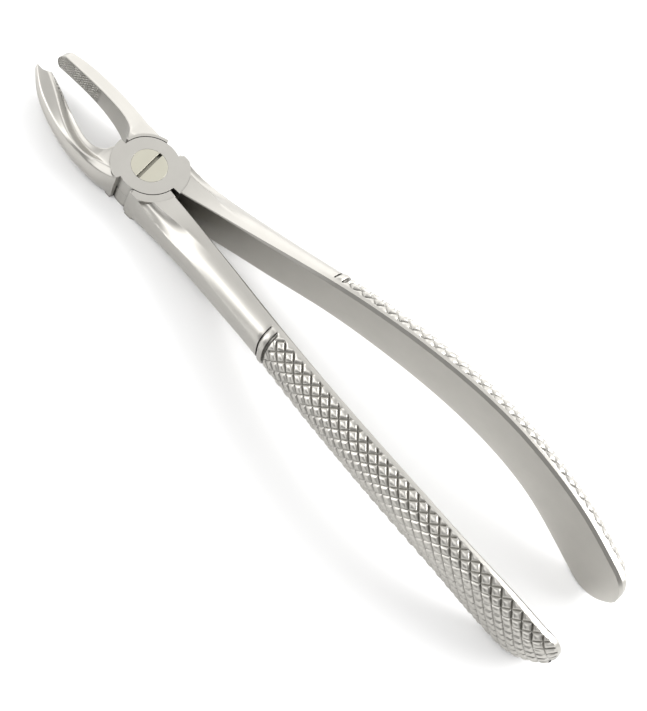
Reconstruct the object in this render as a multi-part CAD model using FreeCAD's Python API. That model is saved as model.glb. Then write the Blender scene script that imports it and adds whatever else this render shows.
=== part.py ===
"""Extraction forceps for upper molars, English pattern.

Two steel halves cross at a lap joint and turn on one flush slotted screw.

Frame: millimetres, +Z up.  The origin is where the hinge axis meets the flat underside of the
joint, so the hinge axis is Z and the forceps stands on Z = 0.  The handles run along +X and the
beaks along -X.  The upper half has its beak on -Y and its handle on +Y, the lower half the
reverse.  The solids are drawn partly open, which is the rest position of the hinge.

Parts written: upper_half, lower_half, hinge_screw.
"""

import FreeCAD, Part
import math
import os
from FreeCAD import Vector

# Joint
JOINT_THICKNESS = 8.8          # underside to top face
PARTING_HEIGHT = 4.4           # where the two laps meet
LAP_GAP = 0.06                 # axial play between the laps
LAP_RADIUS = 7.2               # each half's round lap
POCKET_RADIUS = 7.4            # the recess that the other half's lap turns in
UPPER_BEAK_HUB_RADIUS = 8.7    # flat shoulder of the upper half, on its beak side
LOWER_BEAK_HUB_RADIUS = 8.1
SHANK_HUB_RADIUS = 9.2         # flat shoulder on the handle side, and the milled spot face
BEAK_SHOULDER_ANGLE = 105.0    # where a beak's shoulder stops, from +X
SHANK_SHOULDER_ANGLE = 71.0    # where a shank's shoulder stops, from +X
INNER_SHOULDER_ANGLE = 4.0     # keeps the two shanks apart on the centre line
JOINT_HALF_WIDTH = 8.0         # flanks of the joint

# Screw
HEAD_RADIUS = 4.12
HEAD_THICKNESS = 1.7
SCREW_RADIUS = 2.5
SCREW_RUNNING_GAP = 0.05
SLOT_WIDTH = 0.85
SLOT_DEPTH = 0.9
SLOT_ANGLE = 98.0              # direction of the slot, from +X
SHAFT_TOP_DEPTH = 0.5          # the shaft runs up into the head, to this far below its face

# Handle
HANDLE_TOP = 22.1              # highest point of the bowed handles
HANDLE_END_X = 137.5
HANDLE_END_THICKNESS = 0.3     # share of the thickness left at the very end
HANDLE_END_SPREAD = 0.20       # how fast the inner face turns inward at the end
HANDLE_END_FALL = 0.15         # how fast the middle drops there
HANDLE_END_FULLNESS = 0.5      # 1 for an elliptical end, less for a blunter one
OUTER_CORNER = 0.97            # the outer facet's corners, as a share of the thickness
SHANK_INNER_CLEARANCE = 0.75   # grooves stop this far from the inner face
COLLAR_X = 47.6                # raised ring in front of the grip
COLLAR_WIDTH = 1.3
GROOVE_WIDTH = 0.5
GROOVE_DEPTH = 0.45
GROOVE_CUTTER_GROW = 2.0       # how far the groove's cutter stands out of the handle

# One row per shank and handle section:
# x, inner face y, top z, width across the inner face, thickness, flat band beside the inner
# face, half height of the outer facet, swell of the surface between band and facet (negative
# where it is hollowed)
HANDLE_SECTIONS = (
    (2.1, 0.5, 8.8, 8.8, 7.5, 5.2, 4.1, 0.0),
    (8.0, 0.7, 9.0, 9.0, 7.5, 4.9, 3.2, -0.6),
    (14.0, 1.7, 10.2, 9.8, 7.1, 3.8, 2.6, -0.35),
    (22.0, 3.2, 11.9, 10.1, 6.5, 2.4, 2.7, 0.3),
    (34.0, 5.4, 14.4, 10.5, 6.1, 2.1, 2.6, 0.6),
    (46.0, 7.7, 16.8, 10.8, 5.8, 1.7, 2.3, 0.8),
    (62.0, 10.3, 19.5, 11.9, 5.9, 1.4, 2.0, 1.0),
    (78.0, 12.1, 21.4, 12.9, 5.8, 1.4, 2.0, 1.1),
    (94.0, 13.0, HANDLE_TOP, 13.8, 5.6, 1.4, 2.1, 1.2),
    (110.0, 12.8, 20.8, 14.7, 5.4, 1.4, 2.2, 1.2),
    (122.0, 11.8, 18.6, 16.0, 5.4, 1.7, 2.3, 1.2),
    (132.0, 10.5, 15.4, 15.9, 5.2, 2.0, 2.3, 1.1),
)
END_SECTIONS = 6               # sections that round off the handle's end
END_ANGLE = 88.0               # the last of them, as an angle round the end

# One row per beak section, from the joint to the tip:
# x, outer y, bottom z, top z, outer side of the low band along the inner edge, step up from it
UPPER_BEAK_SECTIONS = (
    (-2.1, 8.1, 0.0, 8.8, 6.6, 0.0),
    (-6.0, 9.8, 0.1, 8.8, 7.0, 0.4),
    (-10.0, 10.5, 0.5, 8.7, 7.1, 1.5),
    (-15.0, 10.5, 1.2, 8.5, 6.8, 1.8),
    (-20.0, 9.7, 1.9, 8.3, 5.1, 1.7),
    (-25.0, 8.2, 2.5, 8.1, 2.9, 1.3),
    (-30.0, 5.8, 3.0, 7.9, 1.3, 0.5),
    (-35.0, 1.9, 3.4, 7.6, 0.4, 0.0),
)
LOWER_BEAK_SECTIONS = (
    (-2.1, 8.0, 0.0, 8.8, 4.0, 0.0),
    (-6.0, 8.4, 0.1, 8.8, 3.0, 0.0),
    (-10.0, 8.4, 0.8, 8.7, 3.9, 0.0),
    (-15.0, 8.5, 1.9, 8.6, 4.6, 0.0),
    (-20.0, 8.4, 2.7, 8.5, 4.7, 0.0),
    (-25.0, 8.1, 3.0, 8.4, 4.6, 0.0),
    (-30.0, 7.2, 3.0, 8.3, 4.2, 0.0),
    (-35.0, 5.5, 2.9, 8.2, 3.8, 0.0),
)
BAND_DROP = 0.7                # the low band's inner edge, as a share of the step
STEP_RUN = 1.25                # how far the step leans outward, per millimetre of its height
STEP_START = 0.2
RIM_REACH = 0.86               # a beak's upper rim, from the band to its outer side
RIM_DROP = 0.12                # how far below its top, as a share of its height
TOP_DROP = 0.02                # the same at the head of the step
BULGE_HEIGHT = 0.52            # the widest point of its outer side
KEEL_REACH = 0.45              # the underside's edge

# Plan of the space between the beaks, as |y| of each beak's inner face
UPPER_EYE = ((-7.0, 0.45), (-8.2, 1.5), (-9.1, 3.9), (-10.7, 5.4), (-13.0, 5.9), (-17.0, 5.2),
             (-22.0, 3.6), (-27.0, 1.9), (-31.0, 0.85), (-37.0, -0.5))
LOWER_EYE = ((-7.0, 0.45), (-8.3, 1.3), (-9.2, 2.5), (-11.0, 3.6), (-14.0, 4.2), (-18.0, 4.4),
             (-24.0, 4.3), (-29.0, 4.0), (-37.0, 3.4))

# The upper beak ends in a slim point on its outer side
UPPER_TIP_X = -34.4
POINT_HOLLOW = ((-30.6, 0.3), (-31.0, 0.95), (-31.7, 1.65), (-32.6, 2.0), (-33.6, 1.95),
                (-34.6, 1.75), (-36.0, 1.2))
POINT_UNDERSIDE = ((-30.5, 2.0), (-31.5, 3.6), (-33.0, 4.9), (-35.2, 6.2))
LOWER_TIP_X = -33.4
LOWER_TIP_RADIUS = 3.6         # the plain beak's end, in the side view
LOWER_TIP_HEIGHT = 5.3
CUT_MARGIN = 8.0               # cutters reach this far past what they cut
FLOOR_CUT_HALF_WIDTH = 30.0
INNER_CUT_OVERLAP = 3.0        # how far the cutter between the beaks crosses the centre plane


def spline(points):
    curve = Part.BSplineCurve()
    curve.interpolate(points)
    return curve.toShape()


def line(start, end):
    return Part.makeLine(start, end)


def cylinder(radius, bottom, top):
    return Part.makeCylinder(radius, top - bottom, Vector(0, 0, bottom))


def wedge(start_angle, end_angle, radius):
    """A sector of the joint, full height, between two angles from +X."""
    sweep = end_angle - start_angle
    sector = Part.makeCylinder(radius, JOINT_THICKNESS, Vector(0, 0, 0), Vector(0, 0, 1), sweep)
    sector.rotate(Vector(0, 0, 0), Vector(0, 0, 1), start_angle)
    return sector


def mirrored(shape):
    """The same shape on the other side of the centre plane."""
    return shape.mirror(Vector(0, 0, 0), Vector(0, 1, 0))


def slope_at(index):
    """Slope of the handle's top edge in the side view, as an angle."""
    before = HANDLE_SECTIONS[max(index - 1, 0)]
    after = HANDLE_SECTIONS[min(index + 1, len(HANDLE_SECTIONS) - 1)]
    return math.atan2(after[2] - before[2], after[0] - before[0])


def handle_section(x, inner_y, top_z, width, thickness, band, facet, swell, slope):
    """Closed section: flat inner face, flat bands, swelled or hollowed flanks, outer facet."""
    up = Vector(-math.sin(slope), 0, math.cos(slope))
    half = width / 2
    middle = Vector(x, inner_y, top_z) - up * half
    corner = OUTER_CORNER * thickness

    def at(outward, height):
        return middle + Vector(0, outward, 0) + up * height

    def flank_middle(side, amount):
        """The middle of the flank, pushed out square to its chord."""
        run, drop = corner - band, half - facet
        length = math.hypot(run, drop)
        return at((band + corner) / 2 + amount * drop / length,
                  side * ((half + facet) / 2 + amount * run / length))

    low_swell = max(swell, 0.2 * min(1.0, half))
    edges = [
        line(at(0, -half), at(0, half)),
        line(at(0, half), at(band, half)),
        spline([at(band, half), flank_middle(1, swell), at(corner, facet)]),
        spline([at(corner, facet), at(thickness, 0), at(corner, -facet)]),
        spline([at(corner, -facet), flank_middle(-1, low_swell), at(band, -half)]),
        line(at(band, -half), at(0, -half)),
    ]
    return Part.Wire(edges)


def end_rows():
    """Sections past the last full one, shrinking to the rounded end of the handle."""
    x0, inner0, top0, width0, thick0, band0, facet0, swell0 = HANDLE_SECTIONS[-1]
    rows = []
    for step in range(1, END_SECTIONS + 1):
        angle = math.radians(END_ANGLE * step / END_SECTIONS)
        x = x0 + (HANDLE_END_X - x0) * math.sin(angle)
        shrink = math.cos(angle)
        fuller = shrink ** HANDLE_END_FULLNESS
        width = width0 * fuller
        top = top0 - width0 / 2 - (x - x0) * HANDLE_END_FALL + width / 2
        inner = inner0 - HANDLE_END_SPREAD * (x - x0)
        thick = thick0 * (HANDLE_END_THICKNESS + (1 - HANDLE_END_THICKNESS) * fuller)
        band = band0 * thick / thick0
        rows.append((x, inner, top, width, thick, band, facet0 * shrink, swell0 * shrink))
    return rows


def handle_solid():
    """Shank and handle of one half, on the +Y side."""
    rows = list(HANDLE_SECTIONS) + end_rows()
    last_slope = slope_at(len(HANDLE_SECTIONS) - 1)
    wires = []
    for index, row in enumerate(rows):
        slope = slope_at(index) if index < len(HANDLE_SECTIONS) else last_slope
        if index == 0:
            slope = 0.0
        wires.append(handle_section(*row, slope))
    return Part.makeLoft(wires, True, False)


def beak_section(x, outer_y, bottom_z, top_z, band_y, step):
    """Section of a beak on the +Y side, drawn solid to the centre plane."""
    height = top_z - bottom_z
    rim_y = band_y + RIM_REACH * (outer_y - band_y)
    low = Vector(x, 0, bottom_z)
    high = Vector(x, 0, top_z - BAND_DROP * step)
    foot = Vector(x, band_y, top_z - step)
    head = Vector(x, band_y + STEP_RUN * step + STEP_START, top_z - TOP_DROP * height)
    rim = Vector(x, rim_y, top_z - RIM_DROP * height)
    bulge = Vector(x, outer_y, bottom_z + BULGE_HEIGHT * height)
    keel = Vector(x, band_y + KEEL_REACH * (outer_y - band_y), bottom_z)
    edges = [
        line(low, high),
        line(high, foot),
        line(foot, head),
        line(head, rim),
        spline([rim, bulge, keel]),
        line(keel, low),
    ]
    return Part.Wire(edges)


def beak_blank(rows):
    """A beak before its inner face and its end are cut."""
    return Part.makeLoft([beak_section(*row) for row in rows], True, False)


def inner_cutter(outline):
    """Everything on the inner side of an outline seen in plan."""
    points = [Vector(x, y, -1) for x, y in outline]
    edge = spline(points)
    first = Vector(points[0].x, -INNER_CUT_OVERLAP, -1)
    last = Vector(points[-1].x, -INNER_CUT_OVERLAP, -1)
    border = Part.Wire([edge, line(points[-1], last), line(last, first), line(first, points[0])])
    return Part.Face(border).extrude(Vector(0, 0, JOINT_THICKNESS + 2))


def point_cutter():
    """Slopes the underside of the upper beak up to its point, and squares off the point's end."""
    points = [Vector(x, -1, z) for x, z in POINT_UNDERSIDE]
    low = Vector(points[0].x, -1, -1)
    far_low = Vector(points[-1].x - CUT_MARGIN, -1, -1)
    far_high = Vector(far_low.x, -1, points[-1].z)
    border = Part.Wire([
        spline(points),
        line(points[-1], far_high),
        line(far_high, far_low),
        line(far_low, low),
        line(low, points[0]),
    ])
    below = Part.Face(border).extrude(Vector(0, JOINT_THICKNESS, 0))
    side = JOINT_THICKNESS + CUT_MARGIN
    past = Part.makeBox(CUT_MARGIN, side, side, Vector(UPPER_TIP_X - CUT_MARGIN, -1, -1))
    return below.fuse(past)


def round_tip_cutter():
    """Rounds the plain beak's end in the side view."""
    centre_x = LOWER_TIP_X + LOWER_TIP_RADIUS
    side = JOINT_THICKNESS + CUT_MARGIN
    centre = Vector(centre_x, -1, LOWER_TIP_HEIGHT)
    block = Part.makeBox(CUT_MARGIN, side, side, Vector(centre_x - CUT_MARGIN, -1, -1))
    return block.cut(Part.makeCylinder(LOWER_TIP_RADIUS, side, centre, Vector(0, 1, 0)))


def shoulders(beak_hub_radius):
    """Flat shoulders round the lap, for the half whose handle is on +Y and beak on -Y."""
    shank = wedge(INNER_SHOULDER_ANGLE, SHANK_SHOULDER_ANGLE, SHANK_HUB_RADIUS)
    beak = wedge(180 + INNER_SHOULDER_ANGLE, 360 - BEAK_SHOULDER_ANGLE, beak_hub_radius)
    reach = 2 * SHANK_HUB_RADIUS
    corner = Vector(-reach, -JOINT_HALF_WIDTH, 0)
    flanks = Part.makeBox(2 * reach, 2 * JOINT_HALF_WIDTH, JOINT_THICKNESS, corner)
    return shank.fuse(beak).common(flanks)


def section_at(x, grow):
    """The handle's section between two rows, grown or shrunk on its outer side."""
    after = next(index for index, row in enumerate(HANDLE_SECTIONS) if row[0] > x)
    low, high = HANDLE_SECTIONS[after - 1], HANDLE_SECTIONS[after]
    share = (x - low[0]) / (high[0] - low[0])
    row = [a + (b - a) * share for a, b in zip(low, high)]
    slope = math.atan2(high[2] - low[2], high[0] - low[0])
    inner_y, top_z, width, thickness, band, facet, swell = row[1:]
    inset = SHANK_INNER_CLEARANCE
    return handle_section(x, inner_y + inset, top_z + grow, width + 2 * grow,
                          thickness - inset + grow, band - inset, facet, swell, slope)


def collar_groove(x):
    """A shallow groove round the outer side of the handle, clear of its inner face."""
    ends = (x, x + GROOVE_WIDTH)
    outside = Part.makeLoft([section_at(end, GROOVE_CUTTER_GROW) for end in ends], True, True)
    core = Part.makeLoft([section_at(end, -GROOVE_DEPTH) for end in ends], True, True)
    return outside.cut(core)


def half(beak, hub_radius):
    """One half before its lap is cut: handle on +Y, beak on -Y."""
    handle = handle_solid()
    for side in (-1, 1):
        middle = COLLAR_X + side * (COLLAR_WIDTH + GROOVE_WIDTH) / 2
        handle = handle.cut(collar_groove(middle - GROOVE_WIDTH / 2))
    body = handle.fuse(mirrored(beak)).fuse(shoulders(hub_radius))
    body = body.fuse(cylinder(LAP_RADIUS, 0, JOINT_THICKNESS))
    spot_face = cylinder(SHANK_HUB_RADIUS, JOINT_THICKNESS, JOINT_THICKNESS + CUT_MARGIN)
    length = HANDLE_END_X - UPPER_TIP_X + 2 * CUT_MARGIN
    corner = Vector(UPPER_TIP_X - CUT_MARGIN, -FLOOR_CUT_HALF_WIDTH, -CUT_MARGIN)
    below = Part.makeBox(length, 2 * FLOOR_CUT_HALF_WIDTH, CUT_MARGIN, corner)
    return body.cut(spot_face).cut(below)


def upper_half():
    beak = beak_blank(UPPER_BEAK_SECTIONS).cut(inner_cutter(UPPER_EYE))
    beak = beak.cut(inner_cutter(POINT_HOLLOW)).cut(point_cutter())
    body = half(beak, UPPER_BEAK_HUB_RADIUS)
    body = body.cut(cylinder(POCKET_RADIUS, -1, PARTING_HEIGHT + LAP_GAP / 2))
    body = body.cut(cylinder(SCREW_RADIUS + SCREW_RUNNING_GAP, -1, JOINT_THICKNESS + 1))
    seat = JOINT_THICKNESS - HEAD_THICKNESS - LAP_GAP / 2
    body = body.cut(cylinder(HEAD_RADIUS + SCREW_RUNNING_GAP, seat, JOINT_THICKNESS + 1))
    return body.removeSplitter()


def lower_half():
    beak = beak_blank(LOWER_BEAK_SECTIONS).cut(inner_cutter(LOWER_EYE)).cut(round_tip_cutter())
    body = mirrored(half(beak, LOWER_BEAK_HUB_RADIUS))
    body = body.cut(cylinder(POCKET_RADIUS, PARTING_HEIGHT - LAP_GAP / 2, JOINT_THICKNESS + 1))
    body = body.cut(cylinder(SCREW_RADIUS, -1, JOINT_THICKNESS + 1))
    return body.removeSplitter()


def hinge_screw():
    head = cylinder(HEAD_RADIUS, JOINT_THICKNESS - HEAD_THICKNESS, JOINT_THICKNESS)
    screw = head.fuse(cylinder(SCREW_RADIUS, 0, JOINT_THICKNESS - SHAFT_TOP_DEPTH))
    slot = Part.makeBox(2 * HEAD_RADIUS + 2, SLOT_WIDTH, SLOT_DEPTH + 1,
                        Vector(-HEAD_RADIUS - 1, -SLOT_WIDTH / 2, JOINT_THICKNESS - SLOT_DEPTH))
    slot.rotate(Vector(0, 0, 0), Vector(0, 0, 1), SLOT_ANGLE)
    return screw.cut(slot).removeSplitter()


def main():
    os.makedirs("parts", exist_ok=True)
    parts = {"upper_half": upper_half(), "lower_half": lower_half(), "hinge_screw": hinge_screw()}
    for name, shape in parts.items():
        solids = shape.Solids
        print(name, "solids", len(solids), "volume", round(shape.Volume, 1), "valid", shape.isValid())
        shape.exportStep("parts/" + name + ".step")


main()
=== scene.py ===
"""Visual model of the extraction forceps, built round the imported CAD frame.

Both steel halves are rebuilt here as smooth dense meshes with the knurled grip, the collar and
the serrated beak faces as real geometry.  The screw is rebuilt too.  Shapes are worked out in
millimetres in the frame's axes (+X handles, -X beaks, +Z up, hinge on Z) and stored in metres.
"""

import bmesh
import bpy
import math
import numpy as np
from mathutils import Matrix, Vector


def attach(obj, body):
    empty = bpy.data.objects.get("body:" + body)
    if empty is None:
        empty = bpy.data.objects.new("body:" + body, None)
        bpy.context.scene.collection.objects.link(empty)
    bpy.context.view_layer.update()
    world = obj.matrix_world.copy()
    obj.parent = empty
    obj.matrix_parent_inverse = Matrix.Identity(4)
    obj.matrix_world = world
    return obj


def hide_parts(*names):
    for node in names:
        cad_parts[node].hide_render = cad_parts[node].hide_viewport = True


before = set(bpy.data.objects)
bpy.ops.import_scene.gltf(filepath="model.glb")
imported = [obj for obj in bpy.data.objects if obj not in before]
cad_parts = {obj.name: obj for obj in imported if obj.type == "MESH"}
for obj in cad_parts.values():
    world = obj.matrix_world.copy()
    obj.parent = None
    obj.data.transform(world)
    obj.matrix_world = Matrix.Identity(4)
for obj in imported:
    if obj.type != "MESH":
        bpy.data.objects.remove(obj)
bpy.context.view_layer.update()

MM = 0.001

# Joint, as in the CAD
TOP = 8.8
PARTING = 4.4
LAP_GAP = 0.06
LAP_RADIUS = 7.2
POCKET_RADIUS = 7.4
SPOT_RADIUS = 9.2
SPOT_CUT_RADIUS = 9.25
JOINT_HALF_WIDTH = 8.0
HEAD_RADIUS = 4.12
HEAD_THICKNESS = 1.7
SCREW_RADIUS = 2.5
RUNNING_GAP = 0.05
SLOT_WIDTH = 0.85
SLOT_DEPTH = 0.9
SLOT_ANGLE = 98.0
SHAFT_TOP_DEPTH = 0.5
UPPER_BEAK_HUB_RADIUS = 8.7
LOWER_BEAK_HUB_RADIUS = 8.1
SHANK_SHOULDER = (4, 71)        # degrees from +X
BEAK_SHOULDER = (184, 255)
ROUND_STEPS = 192               # sides of a full circle

# x, inner y, top z, width, thickness, flat band, half height of the outer facet, swell
HANDLE_TABLE = (
    (2.1, 0.5, 8.8, 8.8, 7.5, 5.2, 4.1, 0.0),
    (8.0, 0.7, 9.0, 9.0, 7.5, 4.9, 3.2, -0.6),
    (14.0, 1.7, 10.2, 9.8, 7.1, 3.8, 2.6, -0.35),
    (22.0, 3.2, 11.9, 10.1, 6.5, 2.4, 2.7, 0.3),
    (34.0, 5.4, 14.4, 10.5, 6.1, 2.1, 2.6, 0.6),
    (46.0, 7.7, 16.8, 10.8, 5.8, 1.7, 2.3, 0.8),
    (62.0, 10.3, 19.5, 11.9, 5.9, 1.4, 2.0, 1.0),
    (78.0, 12.1, 21.4, 12.9, 5.8, 1.4, 2.0, 1.1),
    (94.0, 13.0, 22.1, 13.8, 5.6, 1.4, 2.1, 1.2),
    (110.0, 12.8, 20.8, 14.7, 5.4, 1.4, 2.2, 1.2),
    (122.0, 11.8, 18.6, 16.0, 5.4, 1.7, 2.3, 1.2),
    (132.0, 10.5, 15.4, 15.9, 5.2, 2.0, 2.3, 1.1),
)
HANDLE_END_X = 137.5
HANDLE_END_FALL = 0.15
HANDLE_END_FULLNESS = 0.5
HANDLE_END_THICKNESS = 0.3
HANDLE_END_SPREAD = 0.20
OUTER_CORNER = 0.97
CRISP_UNTIL = 26.0      # the flanks keep their facets up to here
ROUND_FROM = 60.0       # and are one smooth curve from here
EDGE_ROUND = 0.45       # radius of the lower inner edge
LAST_ANGLE = 89.0       # the last section, as an angle round the handle's end

# Collar and grip
SHANK_END = 46.1
SHANK_STEP = 0.7
COLLAR_PROFILE = (              # x, height above the handle's surface
    (46.3, 0.0), (46.42, -0.05), (46.5, -0.45), (46.78, -0.5), (46.86, 0.0), (47.1, 0.2),
    (47.6, 0.28), (48.1, 0.2), (48.34, 0.0), (48.42, -0.5), (48.75, -0.5), (48.95, -0.3),
    (49.3, 0.0),
)
GRIP_START = 49.3
KNURL_CELL = 0.31               # side of one mesh cell
KNURL_CELLS = 10                # cells in one diamond, along a row
KNURL_DEPTH = 0.66
KNURL_RISE = 0.10               # flat tops stand this far above the plain handle
KNURL_FADE = 0.30               # width over which the pattern dies out at its edges
SHALLOW_GROOVE = 0.15           # height left in the shallower of the two groove families
GROOVE_SHARPNESS = 2.6

# x, outer y, bottom z, top z, outer side of the low band, step up from it
UPPER_BEAK = (
    (-2.1, 8.1, 0.0, 8.8, 6.6, 0.0),
    (-6.0, 9.8, 0.1, 8.8, 7.0, 0.4),
    (-10.0, 10.5, 0.5, 8.7, 7.1, 1.5),
    (-15.0, 10.5, 1.2, 8.5, 6.8, 1.8),
    (-20.0, 9.7, 1.9, 8.3, 5.1, 1.7),
    (-25.0, 8.2, 2.5, 8.1, 2.9, 1.3),
    (-30.0, 5.8, 3.0, 7.9, 1.1, 0.5),
    (-35.0, 1.9, 3.4, 7.6, 0.0, 0.0),
)
LOWER_BEAK = (
    (-2.1, 8.0, 0.0, 8.8, 4.0, 0.0),
    (-6.0, 8.4, 0.1, 8.8, 3.0, 0.0),
    (-10.0, 8.4, 0.8, 8.7, 2.0, 0.0),
    (-15.0, 8.5, 1.9, 8.6, 2.0, 0.0),
    (-20.0, 8.4, 2.7, 8.5, 2.0, 0.0),
    (-25.0, 8.1, 3.0, 8.4, 2.0, 0.0),
    (-30.0, 7.2, 3.0, 8.3, 2.0, 0.0),
    (-35.0, 5.5, 2.9, 8.2, 2.0, 0.0),
)
BAND_DROP = 0.7         # the low band's inner edge, as a share of the step
STEP_RUN = 1.25         # how far the step leans outward, per millimetre of its height
STEP_START = 0.2
RIM_REACH = 0.86        # upper rim, from the band to the outer side
RIM_DROP = 0.12         # how far below the top, as a share of the height
TOP_DROP = 0.02         # the same at the head of the step
BULGE_HEIGHT = 0.52     # the widest point of the outer side
KEEL_REACH = 0.45       # the underside's edge
BEAK_START_X = -2.1
BEAK_STEP = 0.25
EYE_START_X = -7.0      # the beaks part beyond this
EYE_START_Y = 0.45
FULL_HEIGHT_TO = -9.0   # up to here the beaks overrun the joint's faces and are cut level
UPPER_EYE = ((-7.0, 0.45), (-8.2, 1.5), (-9.1, 3.9), (-10.7, 5.4), (-13.0, 5.9), (-17.0, 5.2),
             (-22.0, 3.6), (-27.0, 1.9), (-31.0, 0.85), (-37.0, -0.5))
LOWER_EYE = ((-7.0, 0.45), (-8.3, 1.3), (-9.2, 2.5), (-11.0, 3.6), (-14.0, 4.2), (-18.0, 4.4),
             (-24.0, 4.3), (-29.0, 4.0), (-37.0, 3.4))
UPPER_TIP_X = -34.4
POINT_HOLLOW = ((-30.6, 0.3), (-31.0, 0.95), (-31.7, 1.65), (-32.6, 2.0), (-33.6, 1.95),
                (-34.6, 1.75), (-36.0, 1.2))
POINT_UNDERSIDE = ((-30.5, 2.0), (-31.5, 3.6), (-33.0, 4.9), (-35.2, 6.2))
LOWER_TIP_CENTRE = -29.8
LOWER_TIP_RADIUS = 3.6
LOWER_TIP_HEIGHT = 5.3
TOOTH_PITCH = 0.9
TOOTH_DEPTH = 0.34
TEETH_FROM = 19.0       # distance from the hinge where the teeth begin
TEETH_FULL = 22.0       # and where they have their full depth
FACE_STEPS = 36         # mesh steps over the height of a beak's inner face

SPLIT_X = 40.0          # the joint's cuts are made on this side of it, the grip is beyond


def spline(knots, values):
    """Natural cubic curve through the rows of a table; returns a function of position."""
    knots = np.asarray(knots, float)
    values = np.asarray(values, float)
    gaps = np.diff(knots)
    matrix = np.eye(len(knots))
    bends = np.zeros_like(values)
    for i in range(1, len(knots) - 1):
        matrix[i, i - 1:i + 2] = gaps[i - 1], 2 * (gaps[i - 1] + gaps[i]), gaps[i]
        bends[i] = 6 * ((values[i + 1] - values[i]) / gaps[i]
                        - (values[i] - values[i - 1]) / gaps[i - 1])
    bends = np.linalg.solve(matrix, bends)

    def at(position):
        position = np.atleast_1d(np.asarray(position, float))
        i = np.clip(np.searchsorted(knots, position) - 1, 0, len(gaps) - 1)
        gap = gaps[i][:, None]
        left = (knots[i + 1] - position)[:, None]
        right = (position - knots[i])[:, None]
        return ((bends[i] * left ** 3 + bends[i + 1] * right ** 3) / (6 * gap)
                + (values[i] / gap - bends[i] * gap / 6) * left
                + (values[i + 1] / gap - bends[i + 1] * gap / 6) * right)
    return at


def lengths(points):
    """Running length along a polyline."""
    return np.concatenate([[0], np.cumsum(np.linalg.norm(np.diff(points, axis=0), axis=1))])


def along(points, stations):
    """Points of a polyline at the given running lengths."""
    run = lengths(points)
    return np.stack([np.interp(stations, run, points[:, k]) for k in range(points.shape[1])], 1)


def spread(points, count):
    """A polyline resampled to count even steps, both ends kept."""
    return along(points, np.linspace(0, lengths(points)[-1], count + 1))


def ramp(value, low, high):
    """Smooth step from 0 at low to 1 at high."""
    t = np.clip((value - low) / (high - low), 0, 1)
    return t * t * (3 - 2 * t)


# ---------------------------------------------------------------- handle sections

def table_slopes(rows):
    """Slope of the top edge at each row, in the side view; level at the joint."""
    slopes = []
    for i in range(len(rows)):
        a, b = rows[max(i - 1, 0)], rows[min(i + 1, len(rows) - 1)]
        slopes.append(math.atan2(b[2] - a[2], b[0] - a[0]))
    slopes[0] = 0.0
    return slopes


_rows = np.array([row + (slope,) for row, slope in zip(HANDLE_TABLE, table_slopes(HANDLE_TABLE))])
_handle_curve = spline(_rows[:, 0], _rows[:, 1:])


def handle_values(w):
    """x, inner y, top z, half width, thickness, band, facet, swell, slope, roundness at station w.

    Up to the last row w is x; past it w goes on as an angle round the handle's end."""
    last = HANDLE_TABLE[-1][0]
    inner, top, width, thickness, band, facet, swell, slope = _handle_curve(min(w, last))[0]
    x = w
    roundness = ramp(w, CRISP_UNTIL, ROUND_FROM)
    if w > last:
        reach = HANDLE_END_X - last
        angle = (w - last) / reach
        shrink = math.cos(angle)
        x = last + reach * math.sin(angle)
        inner = inner - HANDLE_END_SPREAD * (x - last)
        centre = top - width / 2 - (x - last) * HANDLE_END_FALL
        width = width * shrink ** HANDLE_END_FULLNESS
        left = HANDLE_END_THICKNESS + (1 - HANDLE_END_THICKNESS) * shrink ** HANDLE_END_FULLNESS
        thickness, band = thickness * left, band * left
        facet, swell = facet * shrink, swell * shrink
        top = centre + width / 2
    return x, inner, top, width / 2, thickness, band, facet, swell, slope, roundness


def outer_curve(half, thickness, band, facet, swell, roundness):
    """Dense line over the outer side of a section, from its top band to its low band."""
    corner = OUTER_CORNER * thickness
    run, drop = corner - band, half - facet
    length = math.hypot(run, drop)

    def flank(side, amount):
        return ((band + corner) / 2 + amount * drop / length,
                side * ((half + facet) / 2 + amount * run / length))

    low_swell = max(swell, 0.2 * min(1.0, half))
    points = np.array([(band, half), flank(1, swell), (corner, facet), (thickness, 0.0),
                       (corner, -facet), flank(-1, low_swell), (band, -half)])
    run = lengths(points)
    smooth = spline(run, points)
    pieces = []
    for first in (0, 2, 4):
        stations = np.linspace(run[first], run[first + 2], 17)
        crisp = spline(run[first:first + 3], points[first:first + 3])
        piece = (1 - roundness) * crisp(stations) + roundness * smooth(stations)
        pieces.append(piece[1:] if pieces else piece)
    return np.concatenate(pieces)


def arc(centre, radius, start, end, steps):
    """Points of an arc, angles in degrees."""
    angles = np.radians(np.linspace(start, end, steps + 1))
    return np.stack([centre[0] + radius * np.cos(angles), centre[1] + radius * np.sin(angles)], 1)


def edge_chamfer(x):
    """Width of the bevel along the inner edge of the top band."""
    return 0.2 + 0.45 * ramp(x, 15.0, 45.0)


def band_tilt(x):
    """Outward fall of the top band, per millimetre across it."""
    return 0.17 * ramp(x, 10.0, 24.0) * (1 - ramp(x, 40.0, 52.0))


def inner_loop(half, rim, bevel):
    """Low band, flat inner face and top band, from the end of the outer line back to its start."""
    r = min(EDGE_ROUND, 0.6 * half)
    bevel = min(bevel, 0.12 * half, 0.5 * rim)
    face = np.stack([np.zeros(11), np.linspace(-half + r, half - 1.15 * bevel, 11)], 1)
    low = np.stack([np.linspace(rim, r, 5), np.full(5, -half)], 1)
    slant = np.stack([np.linspace(0, bevel, 6), np.linspace(half - 1.15 * bevel, half, 6)], 1)
    high = np.stack([np.linspace(bevel, rim, 5), np.full(5, half)], 1)
    return np.concatenate([
        low[1:],
        arc((r, -half + r), r, 270, 180, 5)[1:],
        face[1:],
        slant[1:],
        high[1:-1],
    ])


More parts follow.
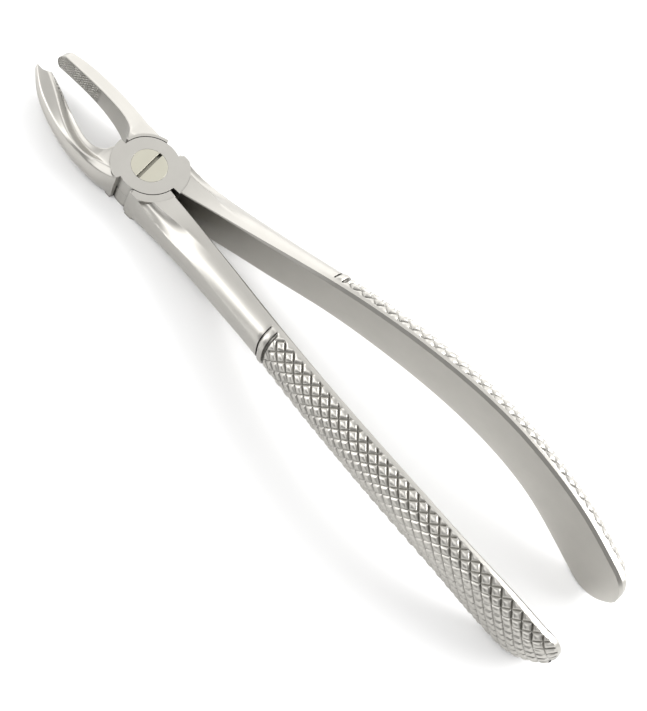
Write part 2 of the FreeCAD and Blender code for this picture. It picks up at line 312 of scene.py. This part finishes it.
def placed(points, x, inner, top, half, slope):
    """Section points (outward, height) put in place, on the +Y side."""
    up = np.array([-math.sin(slope), 0, math.cos(slope)])
    middle = np.array([x, inner, top]) - up * half
    return middle + points[:, :1] * np.array([0, 1.0, 0]) + points[:, 1:] * up


def knurl_height(i, j):
    """Height of the diamond pattern at whole cell numbers, 0 in a groove and 1 on a flat top."""
    half_period = KNURL_CELLS // 2

    def rise(step):
        near = np.abs((step + half_period) % KNURL_CELLS - half_period)
        return 1 - (1 - near / half_period) ** GROOVE_SHARPNESS

    return np.minimum(SHALLOW_GROOVE + (1 - SHALLOW_GROOVE) * rise(i + j), rise(i - j))


def collar_offset(w):
    """Height of the collar above the handle's surface at station w."""
    xs = [p[0] for p in COLLAR_PROFILE]
    ys = [p[1] for p in COLLAR_PROFILE]
    return float(np.interp(w, xs, ys))


def handle_stations():
    """Stations of the rows: even on the shank, at each step of the collar, by cell on the grip."""
    shank = list(np.arange(HANDLE_TABLE[0][0], SHANK_END, SHANK_STEP))
    collar = [p[0] for p in COLLAR_PROFILE]
    end_angle = math.radians(LAST_ANGLE)
    last = HANDLE_TABLE[-1][0]
    end = last + (HANDLE_END_X - last) * end_angle
    fine = np.linspace(GRIP_START, end, 1500)
    apex = []
    for w in fine:
        x, inner, top, half, thickness, band, facet, swell, slope, roundness = handle_values(w)
        apex.append(placed(np.array([[thickness, 0.0]]), x, inner, top, half, slope)[0])
    run = lengths(np.array(apex))
    grip = np.interp(np.arange(1, int(run[-1] / KNURL_CELL)) * KNURL_CELL, run, fine)
    return np.array(shank), np.array(collar), np.concatenate([grip, [end]])


def handle_rows():
    """Closed loops of the whole handle; all have the same number of points."""
    shank, collar, grip = handle_stations()
    stations = np.concatenate([shank, collar, grip])
    sections = [handle_values(w) for w in stations]
    curves = [outer_curve(*s[3:8], s[9]) for s in sections]
    longest = max(lengths(c)[-1] for c in curves)
    columns = int(longest / 2 / KNURL_CELL) + 1
    steps = np.arange(-columns, columns + 1)
    first_grip = len(shank) + len(collar)
    loops = []
    for index, (w, section, curve) in enumerate(zip(stations, sections, curves)):
        x, inner, top, half, thickness, band, facet, swell, slope, roundness = section
        total = lengths(curve)[-1]
        if index < first_grip - 3:
            offsets = steps / columns * total / 2
        else:
            offsets = np.clip(steps * KNURL_CELL, -total / 2, total / 2)
        line = along(curve, offsets + total / 2)
        ahead = along(curve, np.clip(offsets + total / 2 + 0.05, 0, total))
        behind = along(curve, np.clip(offsets + total / 2 - 0.05, 0, total))
        tangent = ahead - behind
        normal = np.stack([-tangent[:, 1], tangent[:, 0]], 1)
        normal /= np.linalg.norm(normal, axis=1)[:, None] + 1e-12
        edge = total / 2 - np.abs(offsets)
        lift = np.full(len(steps), collar_offset(w)) * ramp(edge, 0.0, 0.7)
        if index >= first_grip:
            i = index - first_grip
            depth = (1 - knurl_height(i, steps)) * KNURL_DEPTH
            lift = (KNURL_RISE - depth) * ramp(edge, 0.0, KNURL_FADE)
        line = line + normal * lift[:, None]
        loop = np.concatenate([line, inner_loop(half, band, edge_chamfer(x))])
        near_top = ramp(loop[:, 1], 0.2 * half, half)
        loop[:, 1] -= band_tilt(x) * np.clip(loop[:, 0], 0, band) * near_top
        loops.append(placed(loop, x, inner, top, half, slope))
    return stations, loops, columns, first_grip


def skin(loops, columns=0, first_knurl=None, cap_start=True, cap_end=True):
    """Faces of a tube through closed loops; knurled rows are split along the pattern's creases."""
    count = len(loops[0])
    faces = []
    for i in range(len(loops) - 1):
        for j in range(count):
            k = (j + 1) % count
            a, b = i * count + j, i * count + k
            c, d = (i + 1) * count + k, (i + 1) * count + j
            if first_knurl is not None and i >= first_knurl and j < 2 * columns:
                row = i - first_knurl
                step = j - columns
                half_period = KNURL_CELLS // 2
                s = abs((row + step + 1 + half_period) % KNURL_CELLS - half_period)
                t = abs((row - step + half_period) % KNURL_CELLS - half_period)
                if s < t:
                    faces += [(a, b, d), (b, c, d)]
                else:
                    faces += [(a, b, c), (a, c, d)]
            else:
                faces.append((a, b, c, d))
    if cap_start:
        faces.append(tuple(range(count - 1, -1, -1)))
    if cap_end:
        base = (len(loops) - 1) * count
        faces.append(tuple(base + j for j in range(count)))
    return np.concatenate(loops), faces


def make_object(name, points, faces, flip=False):
    """A mesh object from millimetre points."""
    mesh = bpy.data.meshes.new(name)
    mesh.from_pydata((np.asarray(points) * MM).tolist(), [], faces)
    mesh.update()
    obj = bpy.data.objects.new(name, mesh)
    bpy.context.scene.collection.objects.link(obj)
    work = bmesh.new()
    work.from_mesh(mesh)
    bmesh.ops.remove_doubles(work, verts=work.verts, dist=1e-6)
    loose = [v for v in work.verts if not v.link_faces]
    bmesh.ops.delete(work, geom=loose, context="VERTS")
    bmesh.ops.recalc_face_normals(work, faces=work.faces)
    work.to_mesh(mesh)
    work.free()
    return obj


def sector(name, radius, low, high, start=0.0, end=360.0):
    """A cylinder, or a wedge of one, about the hinge axis."""
    full = end - start >= 360
    steps = max(8, int(ROUND_STEPS * (end - start) / 360))
    angles = np.radians(np.linspace(start, end, steps + 1))
    if full:
        angles = angles[:-1]
    ring = [(radius * math.cos(a), radius * math.sin(a)) for a in angles]
    if not full:
        ring.append((0.0, 0.0))
    n = len(ring)
    points = [(x, y, low) for x, y in ring] + [(x, y, high) for x, y in ring]
    faces = [tuple(range(n - 1, -1, -1)), tuple(range(n, 2 * n))]
    faces += [(j, (j + 1) % n, n + (j + 1) % n, n + j) for j in range(n)]
    return make_object(name, points, faces)


def box(name, low, high):
    """A box between two corners."""
    points = [(x, y, z) for x in (low[0], high[0]) for y in (low[1], high[1])
              for z in (low[2], high[2])]
    faces = [(0, 1, 3, 2), (4, 6, 7, 5), (0, 4, 5, 1), (2, 3, 7, 6), (0, 2, 6, 4), (1, 5, 7, 3)]
    return make_object(name, points, faces)


def combine(target, tool, operation):
    """One exact boolean; the tool is used up."""
    change = target.modifiers.new("change", "BOOLEAN")
    change.operation = operation
    change.solver = "EXACT"
    change.object = tool
    graph = bpy.context.evaluated_depsgraph_get()
    mesh = bpy.data.meshes.new_from_object(target.evaluated_get(graph))
    target.modifiers.clear()
    old = target.data
    target.data = mesh
    bpy.data.meshes.remove(old)
    bpy.data.objects.remove(tool)
    return target


# ---------------------------------------------------------------- beaks

def beak_loop(x, outer, bottom, top, crest, step, eye):
    """Closed section of a beak: inner face, low band, step and rim, outer side, underside."""
    height = top - bottom
    crest = max(crest, eye + 0.3)
    rim = (crest + RIM_REACH * (outer - crest), top - RIM_DROP * height)
    band_edge = (eye, top - BAND_DROP * step)
    step_foot = (crest, top - step)
    step_head = (crest + STEP_RUN * step + STEP_START, top - TOP_DROP * height)
    bulge = (outer, bottom + BULGE_HEIGHT * height)
    keel = (crest + KEEL_REACH * (outer - crest), bottom)
    face = np.array([(eye, bottom), band_edge])
    band = np.array([band_edge, step_foot])
    rise = np.array([step_foot, step_head, rim])
    knots = np.array([rim, bulge, keel])
    side = spline(lengths(knots), knots)(np.linspace(0, lengths(knots)[-1], 33))
    under = np.array([keel, (eye, bottom)])
    loop = np.concatenate([spread(face, FACE_STEPS)[:-1], spread(band, 10)[:-1],
                           spread(rise, 26)[:-1], spread(side, 36)[:-1], spread(under, 20)[:-1]])
    for _ in range(3):
        loop = 0.5 * loop + 0.25 * (np.roll(loop, 1, 0) + np.roll(loop, -1, 0))
    return np.stack([np.full(len(loop), x), loop[:, 0], loop[:, 1]], 1)


def serration(x, z):
    """Fine cross-cut teeth of a gripping face, as depth."""
    a = np.abs(((x + z) / TOOTH_PITCH) % 1 - 0.5) * 2
    b = np.abs(((x - z) / TOOTH_PITCH) % 1 - 0.5) * 2
    return TOOTH_DEPTH * np.maximum(a, b) ** 3


def beak(name, table, eye, round_tip):
    """A beak on the +Y side, with teeth cut into the outer part of its inner face."""
    table = np.array(table)[::-1]
    values = spline(table[:, 0], table[:, 1:])
    eye = np.array(eye)[::-1]
    run = lengths(eye)
    dense = spline(run, eye)(np.linspace(0, run[-1], 400))
    order = np.argsort(dense[:, 0])
    loops = []
    if round_tip:
        xs = list(np.arange(BEAK_START_X, LOWER_TIP_CENTRE, -BEAK_STEP))
        xs += [LOWER_TIP_CENTRE - LOWER_TIP_RADIUS * math.sin(a)
               for a in np.radians(np.linspace(0, 88, 26))]
    else:
        xs = list(np.arange(BEAK_START_X, UPPER_TIP_X + 0.1, -BEAK_STEP)) + [UPPER_TIP_X]
    for x in xs:
        outer, bottom, top, crest, step = values(x)[0]
        inner = EYE_START_Y
        if x < EYE_START_X:
            inner = float(np.interp(x, dense[order, 0], dense[order, 1]))
        if round_tip and x < LOWER_TIP_CENTRE:
            reach = math.sqrt(max(LOWER_TIP_RADIUS ** 2 - (x - LOWER_TIP_CENTRE) ** 2, 0))
            top, bottom = min(top, LOWER_TIP_HEIGHT + reach), max(bottom, LOWER_TIP_HEIGHT - reach)
        if x > FULL_HEIGHT_TO:
            top, bottom = top + 0.08, bottom - 0.12
        loop = beak_loop(x, outer, bottom, top, crest, max(step, 0), inner)
        face = loop[:FACE_STEPS + 1]
        z = face[:, 2]
        teeth = serration(face[:, 0], z) * ramp(np.array(-x), TEETH_FROM, TEETH_FULL)
        teeth = teeth * ramp(z, bottom + 0.1, bottom + 0.5) * ramp(-z, -top + 0.1, -top + 0.5)
        face[:, 1] += teeth
        loops.append(loop)
    points, faces = skin(loops)
    return make_object(name, points, faces)


def prism(name, outline, low, high, upright):
    """A prism with its outline in plan (upright) or in the side view."""
    n = len(outline)
    if upright:
        points = [(a, b, c) for c in (low, high) for a, b in outline]
    else:
        points = [(a, c, b) for c in (low, high) for a, b in outline]
    faces = [tuple(range(n)), tuple(range(2 * n - 1, n - 1, -1))]
    faces += [(j, n + j, n + (j + 1) % n, (j + 1) % n) for j in range(n)]
    return make_object(name, points, faces)


def notch_cutter():
    """Hollows the inner side of the upper beak's end, leaving a slim point on its outer side."""
    points = np.array(POINT_HOLLOW)
    edge = spline(lengths(points), points)(np.linspace(0, lengths(points)[-1], 40))
    outline = [tuple(p) for p in edge] + [(-36.0, -3.0), (-30.6, -3.0)]
    return prism("notch_cutter", outline, -2, 12, True)


def point_cutter():
    """Slopes the underside of the upper beak's end up to its point."""
    points = np.array(POINT_UNDERSIDE)
    edge = spline(lengths(points), points)(np.linspace(0, lengths(points)[-1], 24))
    outline = [tuple(p) for p in edge] + [(-36.0, 6.2), (-36.0, -1.0), (-30.5, -1.0)]
    return prism("point_cutter", outline, -3, 12, False)


# ---------------------------------------------------------------- halves

def mirror_points(obj):
    """Puts a mesh on the other side of the centre plane."""
    obj.data.transform(Matrix.Diagonal((1, -1, 1, 1)))
    obj.data.flip_normals()
    return obj


def shoulder(name, start, end, radius):
    """A flat shoulder of the joint, kept between the joint's flanks."""
    wedge = sector(name, radius, 0.0, TOP, start, end)
    flanks = box("flanks", (-20, -JOINT_HALF_WIDTH, -20), (20, JOINT_HALF_WIDTH, 20))
    return combine(wedge, flanks, "INTERSECT")


def make_half(name, beak_obj, hub_radius, upper):
    """One half: handle on +Y, beak on -Y; the lower half is mirrored at the end."""
    stations, loops, columns, first_grip = handle_rows()
    split = int(np.searchsorted(stations, SPLIT_X))
    points, faces = skin(loops[:split + 1])
    body = make_object(name, points, faces)
    body = combine(body, mirror_points(beak_obj), "UNION")
    body = combine(body, sector("lap", LAP_RADIUS, 0.0, TOP), "UNION")
    body = combine(body, shoulder("shank_shoulder", *SHANK_SHOULDER, SPOT_RADIUS), "UNION")
    body = combine(body, shoulder("beak_shoulder", *BEAK_SHOULDER, hub_radius), "UNION")
    body = combine(body, sector("spot_face", SPOT_CUT_RADIUS, TOP, TOP + 6), "DIFFERENCE")
    body = combine(body, box("below", (-60, -30, -5), (190, 30, 0)), "DIFFERENCE")
    if upper:
        pocket = sector("pocket", POCKET_RADIUS, -1, PARTING + LAP_GAP / 2)
        body = combine(body, pocket, "DIFFERENCE")
        body = combine(body, sector("bore", SCREW_RADIUS + RUNNING_GAP, -1, TOP + 1), "DIFFERENCE")
        seat = TOP - HEAD_THICKNESS - LAP_GAP / 2
        recess = sector("recess", HEAD_RADIUS + RUNNING_GAP, seat, TOP + 1)
        body = combine(body, recess, "DIFFERENCE")
    else:
        pocket = sector("pocket", POCKET_RADIUS, PARTING - LAP_GAP / 2, TOP + 1)
        body = combine(body, pocket, "DIFFERENCE")
        body = combine(body, sector("bore", SCREW_RADIUS, -1, TOP + 1), "DIFFERENCE")
    points, faces = skin(loops[split:], columns, first_grip - split, cap_start=False)
    grip = make_object("grip", points, faces)
    join(body, grip)
    if not upper:
        mirror_points(body)
    finish_mesh(body)
    return body


def join(body, grip):
    """Welds the grip to the open end of the shank."""
    work = bmesh.new()
    work.from_mesh(body.data)
    near_end = (SPLIT_X - 5) * MM
    caps = [f for f in work.faces if len(f.verts) > 60 and f.calc_center_median().x > near_end]
    bmesh.ops.delete(work, geom=caps, context="FACES_ONLY")
    work.from_mesh(grip.data)
    bmesh.ops.remove_doubles(work, verts=work.verts, dist=2e-6)
    bmesh.ops.recalc_face_normals(work, faces=work.faces)
    work.to_mesh(body.data)
    work.free()
    bpy.data.objects.remove(grip)


def finish_mesh(obj):
    """Smooth shading with crisp edges kept."""
    work = bmesh.new()
    work.from_mesh(obj.data)
    bmesh.ops.dissolve_degenerate(work, edges=work.edges, dist=1e-6)
    loose = [v for v in work.verts if not v.link_faces]
    bmesh.ops.delete(work, geom=loose, context="VERTS")
    work.to_mesh(obj.data)
    work.free()
    obj.data.shade_smooth()
    obj.data.set_sharp_from_angle(angle=math.radians(32))


def screw_mesh():
    """Slotted head with its shaft."""
    head = sector("screw", HEAD_RADIUS, TOP - HEAD_THICKNESS, TOP)
    head = combine(head, sector("shaft", SCREW_RADIUS, 0.0, TOP - SHAFT_TOP_DEPTH), "UNION")
    slot = box("slot", (-HEAD_RADIUS - 1, -SLOT_WIDTH / 2, TOP - SLOT_DEPTH),
               (HEAD_RADIUS + 1, SLOT_WIDTH / 2, TOP + 1))
    slot.data.transform(Matrix.Rotation(math.radians(SLOT_ANGLE), 4, "Z"))
    head = combine(head, slot, "DIFFERENCE")
    finish_mesh(head)
    return head


def steel(name, tone, rough):
    """Satin steel: fine blasted grain, faint cloudiness, and painted shade that darkens the colour in
    tight recesses.
    """
    mat = bpy.data.materials.new(name)
    mat.use_nodes = True
    tree = mat.node_tree
    bsdf = tree.nodes["Principled BSDF"]

    def node(kind, **values):
        made = tree.nodes.new(kind)
        for key, value in values.items():
            if key in made.inputs:
                made.inputs[key].default_value = value
            else:
                setattr(made, key, value)
        return made

    def link(a, out, b, into):
        tree.links.new(a.outputs[out], b.inputs[into])

    place = node("ShaderNodeTexCoord")
    cloud = node("ShaderNodeTexNoise", Scale=220.0, Detail=3.0)
    grain = node("ShaderNodeTexNoise", Scale=9000.0, Detail=2.0)
    stretch = node("ShaderNodeMapping")
    stretch.inputs["Scale"].default_value = (0.12, 1.0, 1.0)
    brush = node("ShaderNodeTexNoise", Scale=6000.0, Detail=2.0)
    link(place, "Object", cloud, "Vector")
    link(place, "Object", grain, "Vector")
    link(place, "Object", stretch, "Vector")
    link(stretch, "Vector", brush, "Vector")

    # Painted shade: ambient occlusion darkens the base colour in grooves, gaps and recesses where
    # little light reaches
    recess = node("ShaderNodeAmbientOcclusion", samples=6, only_local=False)
    recess.inputs["Distance"].default_value = 0.0012
    painted_recess_shade = node("ShaderNodeMapRange")
    painted_recess_shade.inputs["From Min"].default_value = 0.25
    painted_recess_shade.inputs["From Max"].default_value = 0.80
    painted_recess_shade.inputs["To Min"].default_value = 0.16
    painted_recess_shade.inputs["To Max"].default_value = 1.0
    link(recess, "AO", painted_recess_shade, "Value")

    tint = node("ShaderNodeMapRange")
    tint.inputs["To Min"].default_value = 0.94
    tint.inputs["To Max"].default_value = 1.06
    link(cloud, "Fac", tint, "Value")
    # base colour = random cloud tint times the painted recess shade
    tint_and_painted_shade = node("ShaderNodeMath", operation="MULTIPLY")
    link(tint, "Result", tint_and_painted_shade, 0)
    link(painted_recess_shade, "Result", tint_and_painted_shade, 1)
    colour = node("ShaderNodeMix", data_type="RGBA", blend_type="MULTIPLY")
    colour.inputs[0].default_value = 1.0
    colour.inputs[6].default_value = (*tone, 1)
    tree.links.new(tint_and_painted_shade.outputs[0], colour.inputs[7])
    tree.links.new(colour.outputs[2], bsdf.inputs["Base Color"])

    shine = node("ShaderNodeMapRange")
    shine.inputs["To Min"].default_value = rough - 0.05
    shine.inputs["To Max"].default_value = rough + 0.07
    link(brush, "Fac", shine, "Value")
    link(shine, "Result", bsdf, "Roughness")

    bump = node("ShaderNodeBump", Strength=0.25, Distance=0.00002)
    link(grain, "Fac", bump, "Height")
    edge = node("ShaderNodeBevel", samples=4)
    edge.inputs["Radius"].default_value = 0.00012
    link(edge, "Normal", bump, "Normal")
    link(bump, "Normal", bsdf, "Normal")
    bsdf.inputs["Metallic"].default_value = 1.0
    return mat


half_steel = steel("half_steel", (0.445, 0.432, 0.402), 0.31)
screw_steel = steel("screw_steel", (0.485, 0.470, 0.395), 0.33)

upper_beak = combine(beak("upper_beak", UPPER_BEAK, UPPER_EYE, False), notch_cutter(), "DIFFERENCE")
upper_beak = combine(upper_beak, point_cutter(), "DIFFERENCE")
upper = make_half("forceps_upper_half", upper_beak, UPPER_BEAK_HUB_RADIUS, True)
lower_beak = beak("lower_beak", LOWER_BEAK, LOWER_EYE, True)
lower = make_half("forceps_lower_half", lower_beak, LOWER_BEAK_HUB_RADIUS, False)
screw = screw_mesh()
PIECES = (
    (upper, "upper_half", "upper_half", half_steel, "upper_half_steel"),
    (lower, "lower_half", "lower_half", half_steel, "lower_half_steel"),
    (screw, "hinge_screw", "lower_half", screw_steel, "screw_steel"),
)
for obj, node, body, mat, slot in PIECES:
    obj.data.materials.clear()
    obj.data.materials.append(mat)
    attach(obj, body)
    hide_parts(node)

# Floor
FLOOR_HALF = 3.0
FLOOR_CORNERS = [(x * FLOOR_HALF, y * FLOOR_HALF, 0) for x, y in ((-1, -1), (1, -1), (1, 1), (-1, 1))]
floor_mesh = bpy.data.meshes.new("floor")
floor_mesh.from_pydata(FLOOR_CORNERS, [], [(0, 1, 2, 3)])
floor = bpy.data.objects.new("floor", floor_mesh)
bpy.context.scene.collection.objects.link(floor)
fmat = bpy.data.materials.new("floor")
fmat.use_nodes = True
fb = fmat.node_tree.nodes["Principled BSDF"]
fb.inputs["Base Color"].default_value = (0.83, 0.83, 0.83, 1)
fb.inputs["Roughness"].default_value = 0.7
floor_mesh.materials.append(fmat)

# Room light: levels by world direction, brighter and darker bands as from studio panels
LIGHT_LEVELS = (                # along Y
    (-1.0, 0.35), (-0.84, 0.40), (-0.66, 1.7), (-0.50, 2.8), (-0.32, 2.2), (-0.10, 0.95),
    (0.10, 0.80), (0.32, 1.0), (0.48, 1.25), (0.66, 1.9), (0.82, 2.4), (1.0, 1.9),
)
LIGHT_PEAK = 2.8
END_LEVELS = ((-1.0, 1.9), (-0.75, 1.6), (-0.50, 1.0), (0.25, 0.95), (0.60, 0.5), (1.0, 0.4))
BACKDROP = 1.02                 # plain level that the view itself shows behind the floor

world = bpy.data.worlds.new("studio")
bpy.context.scene.world = world
world.use_nodes = True
wt = world.node_tree
bg = wt.nodes["Background"]
direction = wt.nodes.new("ShaderNodeTexCoord")
toward = wt.nodes.new("ShaderNodeSeparateXYZ")
wt.links.new(direction.outputs["Generated"], toward.inputs[0])


def level_ramp(axis, levels, peak):
    """Light levels along one world axis, from -1 to 1, as shares of the peak."""
    share = wt.nodes.new("ShaderNodeMapRange")
    share.inputs["From Min"].default_value = -1.0
    share.inputs["From Max"].default_value = 1.0
    wt.links.new(toward.outputs[axis], share.inputs["Value"])
    made = wt.nodes.new("ShaderNodeValToRGB")
    elements = made.color_ramp.elements
    while len(elements) < len(levels):
        elements.new(0.5)
    for element, (at, level) in zip(elements, levels):
        element.position = (at + 1) / 2
    for element, (at, level) in zip(elements, levels):
        element.color = (level / peak, level / peak, level / peak, 1)
    wt.links.new(share.outputs["Result"], made.inputs["Fac"])
    return made.outputs["Color"]


both = wt.nodes.new("ShaderNodeVectorMath")
both.operation = "MULTIPLY"
wt.links.new(level_ramp("Y", LIGHT_LEVELS, LIGHT_PEAK), both.inputs[0])
wt.links.new(level_ramp("X", END_LEVELS, 1.0), both.inputs[1])
ray = wt.nodes.new("ShaderNodeLightPath")
see = wt.nodes.new("ShaderNodeMix")
see.data_type = "RGBA"
wt.links.new(ray.outputs["Is Camera Ray"], see.inputs[0])
wt.links.new(both.outputs["Vector"], see.inputs[6])
see.inputs[7].default_value = (*[BACKDROP / LIGHT_PEAK] * 3, 1)
wt.links.new(see.outputs[2], bg.inputs["Color"])
bg.inputs["Strength"].default_value = LIGHT_PEAK


def area(name, place, aim, size, power):
    """A soft panel light aimed at a point."""
    data = bpy.data.lights.new(name, "AREA")
    data.shape = "RECTANGLE"
    data.size = size[0]
    data.size_y = size[1]
    data.energy = power
    lamp = bpy.data.objects.new(name, data)
    bpy.context.scene.collection.objects.link(lamp)
    lamp.location = place
    lamp.rotation_euler = (Vector(aim) - Vector(place)).to_track_quat("-Z", "Y").to_euler()


area("key", (0.50, 0.50, 0.40), (0.05, 0, 0), (0.60, 0.60), 6.5)

# Camera
LENS = 131.65
SENSOR_WIDTH = 36
CAMERA_PLACE = Vector((0.134434, -0.240541, 0.449785))
right = Vector((0.68086, 0.68715, 0.25348))
up = -Vector((0.71637, -0.55276, -0.42575))
back = -Vector((-0.15244, 0.47146, -0.86861))
cam_data = bpy.data.cameras.new("camera")
cam = bpy.data.objects.new("camera", cam_data)
bpy.context.scene.collection.objects.link(cam)
rot = Matrix((right, up, back)).transposed()
cam.matrix_world = Matrix.Translation(CAMERA_PLACE) @ rot.to_4x4()
cam_data.sensor_fit = "HORIZONTAL"
cam_data.sensor_width = SENSOR_WIDTH
cam_data.lens = LENS
cam_data.clip_start = 0.01
cam_data.clip_end = 20
bpy.context.scene.camera = cam
bpy.context.scene.view_settings.view_transform = "Standard"
